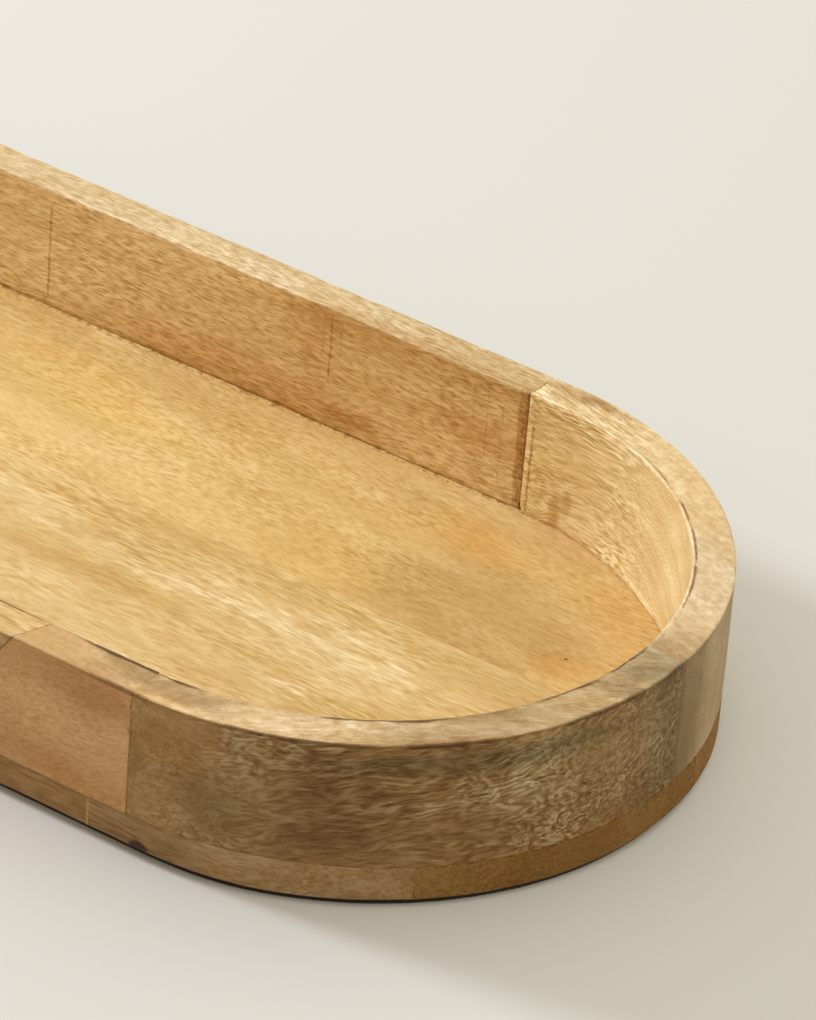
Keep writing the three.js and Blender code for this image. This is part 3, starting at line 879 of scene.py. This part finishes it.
materials["rail_front_filler"] = wood(
    "wood_rail_front_filler", 9, PINK, cloud=0.17, outer=(0.74, 0.61, 0.48), dash=0.055, streak=0.05, pore=0.15,
    wave=3.0, along_x=0.3, edge_in=DARK_EDGE, edge_out=DARK_LIP,
    stains_and_highlights=[
        ((139, -92, 38), (13, 6, 3), 0, 0.5, 2.5, (0.61, 0.59, 0.52), 0.9),
        ((130, -100, 31), (15, 4, 7), 0, 0.6, 2.0, (0.82, 0.73, 0.64), 0.9),
        ((110, -100, 20), (13, 4, 9), 0, 0.6, 2.5, (1.07, 1.10, 1.14), 0.9),
        ((118, -100, 4), (20, 4, 5), 0, 0.6, 2.0, (0.92, 0.87, 0.80), 0.9),
    ])
materials["end_block_right_back"] = wood(
    "wood_end_right_back", 10, PALE, tilt=-14, dash=0.225, across=1.1, rise=2, inner=(1.06, 1.05, 0.97), rim_dash=0.7, mottle=0.16, outer_dash=1.0, outer=(0.53, 0.50, 0.52), wave=1.8, pore=0.6,
    calm=(162, 190, 0.15), rings=(165, -20, 2.4, 0.07), edge_in=WORN_EDGE_AND_HIGHLIGHT, along_x=0.10, foot=0.5,
    groove=(177, 225, 0.75), rim=(1.07, 1.08, 1.18),
    stains_and_highlights=[
        ((146, 88, 5), (2.0, 4, 6), 0, 0.5, 1.0, (0.70, 0.54, 0.36), 0.8),
        ((150, 87, 9), (1.6, 4, 4), 0, 0.5, 1.0, (0.76, 0.62, 0.46), 0.7),
        # painted highlight: a light strip along the bottom of the inner wall, at the floor
        ((191, 69, 0.6), (16, 18, 1.6), 0, 0.5, 0.5, (1.12, 1.18, 1.30), 0.9),
        ((143, 97.0, 38), (9, 3.0, 3), 0, 0.5, 2.0, (0.70, 0.60, 0.47), 0.95),
        ((154, 96.2, 38), (8, 2.4, 3), -8, 0.5, 2.0, (0.68, 0.57, 0.44), 0.9),
        ((212, 68, 38), (22, 8, 3), -48, 0.6, 1.5, (0.92, 0.88, 0.80), 0.8),
        ((232, 12, 38), (14, 16, 3), 0, 0.6, 2.5, (0.94, 0.90, 0.84), 0.9),
        ((240, 6, 16), (14, 12, 70), 0, 0.5, 1.2, (0.62, 0.56, 0.48), 0.95),
        ((217, 40, 15), (25, 42, 40), 0, 0.6, 1.0, (0.94, 0.92, 0.89), 0.9),
        ((136.3, 92.6, 38), (2.0, 3.4, 3), 0, 0.3, 0.3, (1.14, 1.20, 1.32), 0.9),
        ((226, 50, 38), (18, 34, 3), 0, 0.6, 1.5, (0.94, 0.95, 1.02), 0.9),
    ],
    lines=[
        ((134.5, 80, 6), (135.6, 89.5, 28), 0.25, (1.16, 1.22, 1.32), 0.8, 0.3),
        ((136.0, 80, 1), (136.7, 89.5, 28), 0.25, (0.52, 0.37, 0.20), 0.85, 0.4),
        ((230, 4.0, -1), (242, 7.0, 37.6), 1.0, (0.72, 0.66, 0.58), 0.9, 0.0),
        ((230, 11.0, 1), (242, 12.4, 37.0), 0.5, (1.14, 1.14, 1.15), 0.4, 0.4),
        ((230, 15.5, 1), (242, 17.5, 30.0), 0.6, (0.84, 0.80, 0.74), 0.8, 0.5),
        ((230, 24.0, 1), (242, 26.5, 37.0), 0.7, (1.12, 1.12, 1.12), 0.4, 0.4),
    ])
materials["end_block_left_back"] = wood(
    "wood_end_left_back", 11, PALE, tilt=-14, dash=0.16, rim_dash=0.5, outer=(0.45, 0.40, 0.315), wave=4.0, along_x=0.08,
    edge_in=WORN_EDGE_AND_HIGHLIGHT, foot=0.5, rim=(0.95, 0.96, 0.97))
materials["end_block_right_front"] = wood(
    "wood_end_right_front", 12, GREY, tilt=38, rise=9, calm=(186, 150, 0.36), dash=0.23, figure=0.12, cloud=0.18, streak=0.10, rim_dash=0.4, mottle=0.14,
    outer_dash=1.45, along_x=0.13, across=0.75, wave=4.0, fine=0.85, outer=(0.440, 0.352, 0.238), edge_in=DARK_EDGE,
    edge_out=DARK_LIP, rim=(1.12, 1.10, 1.08),
    stains_and_highlights=[
        ((150, -99, 30), (16, 5, 9), 0, 0.6, 1.2, (1.40, 1.32, 1.24), 0.9),
        ((150, -99, 10), (10, 5, 16), 0, 0.6, 1.2, (1.18, 1.15, 1.10), 0.9),
        ((165, -97, 12), (12, 8, 8), 0, 0.6, 1.2, (0.82, 0.84, 0.80), 0.8),
        ((194, -84, 18), (16, 20, 18), 0, 0.6, 1.4, (0.68, 0.61, 0.52), 0.9),
        ((230, -44, 20), (12, 18, 16), 0, 0.6, 1.4, (1.10, 1.26, 1.48), 0.9),
        ((222, -57, 31.0), (34, 50, 3.6), 0, 0.5, 1.4, (0.66, 0.66, 0.66), 0.9),
        ((214, -64, 36.2), (26, 36, 1.5), 0, 0.5, 1.4, (1.34, 1.28, 1.18), 0.9),
        ((150, -92.5, 38), (14, 5.5, 3), 8, 0.5, 3.0, (0.62, 0.56, 0.48), 0.9),
        ((212, -60, 38), (18, 18, 3), 0, 0.6, 1.8, (0.56, 0.53, 0.48), 0.9),
        ((229, -28, 38), (16, 22, 3), 0, 0.5, 2.5, (0.69, 0.65, 0.57), 0.9),
        ((240, 2, 15), (14, 14, 60), 0, 0.6, 1.0, (0.74, 0.81, 0.90), 0.9),
        ((237, -4, 38), (12, 14, 3), 0, 0.6, 2.0, (0.68, 0.63, 0.56), 0.9),
        ((171, -88, 38), (14, 8, 3), 10, 0.6, 2.0, (1.05, 1.06, 1.12), 0.9),
    ])
materials["end_block_left_front"] = wood(
    "wood_end_left_front", 13, GREY, tilt=38, dash=0.22, figure=0.12, cloud=0.18, streak=0.10, rim_dash=0.4, mottle=0.14,
    outer_dash=1.45, along_x=0.13, across=0.75, wave=4.0, fine=0.85, outer=(0.440, 0.352, 0.238), edge_in=DARK_EDGE,
    edge_out=DARK_LIP, rim=(0.96, 0.94, 0.90))
felt_and_contact_shade_mat = felt_and_contact_shade("felt_and_contact_shade")
for node, obj in pieces.items():
    obj.data.materials.append(materials.get(node, felt_and_contact_shade_mat))

# ------------------------------------------------------------------ floor, light and camera
ground = bpy.data.meshes.new("ground")
g = 6.0
ground.from_pydata([(-g, -g, 0), (g, -g, 0), (g, g, 0), (-g, g, 0)], [], [(0, 1, 2, 3)])
ground_obj = bpy.data.objects.new("ground", ground)
bpy.context.scene.collection.objects.link(ground_obj)
gt = Tree("pale_floor")
gt.bsdf.inputs["Base Color"].default_value = (0.72, 0.695, 0.635, 1)
gt.bsdf.inputs["Roughness"].default_value = 1.0
gt.bsdf.inputs["Specular IOR Level"].default_value = 0.0
ground.materials.append(gt.mat)

scene = bpy.context.scene
world = bpy.data.worlds.new("studio")
scene.world = world
world.use_nodes = True
bg = world.node_tree.nodes["Background"]
bg.inputs["Strength"].default_value = 1.0
wt = world.node_tree
sky = wt.nodes.new("ShaderNodeTexCoord")
split = wt.nodes.new("ShaderNodeSeparateXYZ")
height = wt.nodes.new("ShaderNodeMapRange")
height.interpolation_type = "SMOOTHSTEP"
height.inputs["From Min"].default_value = 0.0
height.inputs["From Max"].default_value = 0.55
height.inputs["To Min"].default_value = 0.30
height.inputs["To Max"].default_value = 0.925
lean = wt.nodes.new("ShaderNodeVectorMath")
lean.operation = "DOT_PRODUCT"
lean.inputs[1].default_value = (0.45, 0.30, 0.0)
side = wt.nodes.new("ShaderNodeMath")
side.operation = "MULTIPLY_ADD"
tone = wt.nodes.new("ShaderNodeVectorMath")
tone.operation = "SCALE"
tone.inputs[0].default_value = (1.0, 0.970, 0.880)
wt.links.new(sky.outputs["Generated"], split.inputs[0])
wt.links.new(split.outputs[2], height.inputs["Value"])
wt.links.new(sky.outputs["Generated"], lean.inputs[0])
wt.links.new(lean.outputs["Value"], side.inputs[0])
wt.links.new(height.outputs["Result"], side.inputs[1])
wt.links.new(height.outputs["Result"], side.inputs[2])
wt.links.new(side.outputs[0], tone.inputs["Scale"])
wt.links.new(tone.outputs["Vector"], bg.inputs["Color"])


def area_light(name, azimuth, elevation, distance, size, power, colour, aim=(0.10, 0.0, 0.02)):
    """azimuth is the plan direction from the dish to the light, in degrees from +X."""
    a, e = math.radians(azimuth), math.radians(elevation)
    d = Vector((math.cos(a) * math.cos(e), math.sin(a) * math.cos(e), math.sin(e)))
    data = bpy.data.lights.new(name, "AREA")
    data.shape = "DISK"
    data.size = size
    data.energy = power
    data.color = colour
    ob = bpy.data.objects.new(name, data)
    ob.location = Vector(aim) + d * distance
    ob.rotation_euler = d.to_track_quat("Z", "Y").to_euler()
    scene.collection.objects.link(ob)
    return ob


area_light("key", 190.0, 23.0, 2.5, 0.45, 42.0, (0.95, 1.02, 1.22))

az, el, roll, dist = 0.5749753, 0.5629181, 0.0802282, 1.92075
target = Vector((0.10352, 0.07890, 0.0041))
back = Vector((math.sin(az) * math.cos(el), -math.cos(az) * math.cos(el), math.sin(el)))
right = (-back).cross(Vector((0, 0, 1))).normalized()
up = right.cross(-back)
r2 = right * math.cos(roll) + up * math.sin(roll)
u2 = -right * math.sin(roll) + up * math.cos(roll)
cam_data = bpy.data.cameras.new("camera")
cam_data.sensor_width = 36.0
cam_data.lens = 6903.4 * 36.0 / 1020.0
cam = bpy.data.objects.new("camera", cam_data)
place = Matrix((r2, u2, back)).transposed().to_4x4()
place.translation = target + back * dist
cam.matrix_world = place
scene.collection.objects.link(cam)
scene.camera = cam
scene.view_settings.view_transform = "Standard"

bpy.context.view_layer.update()
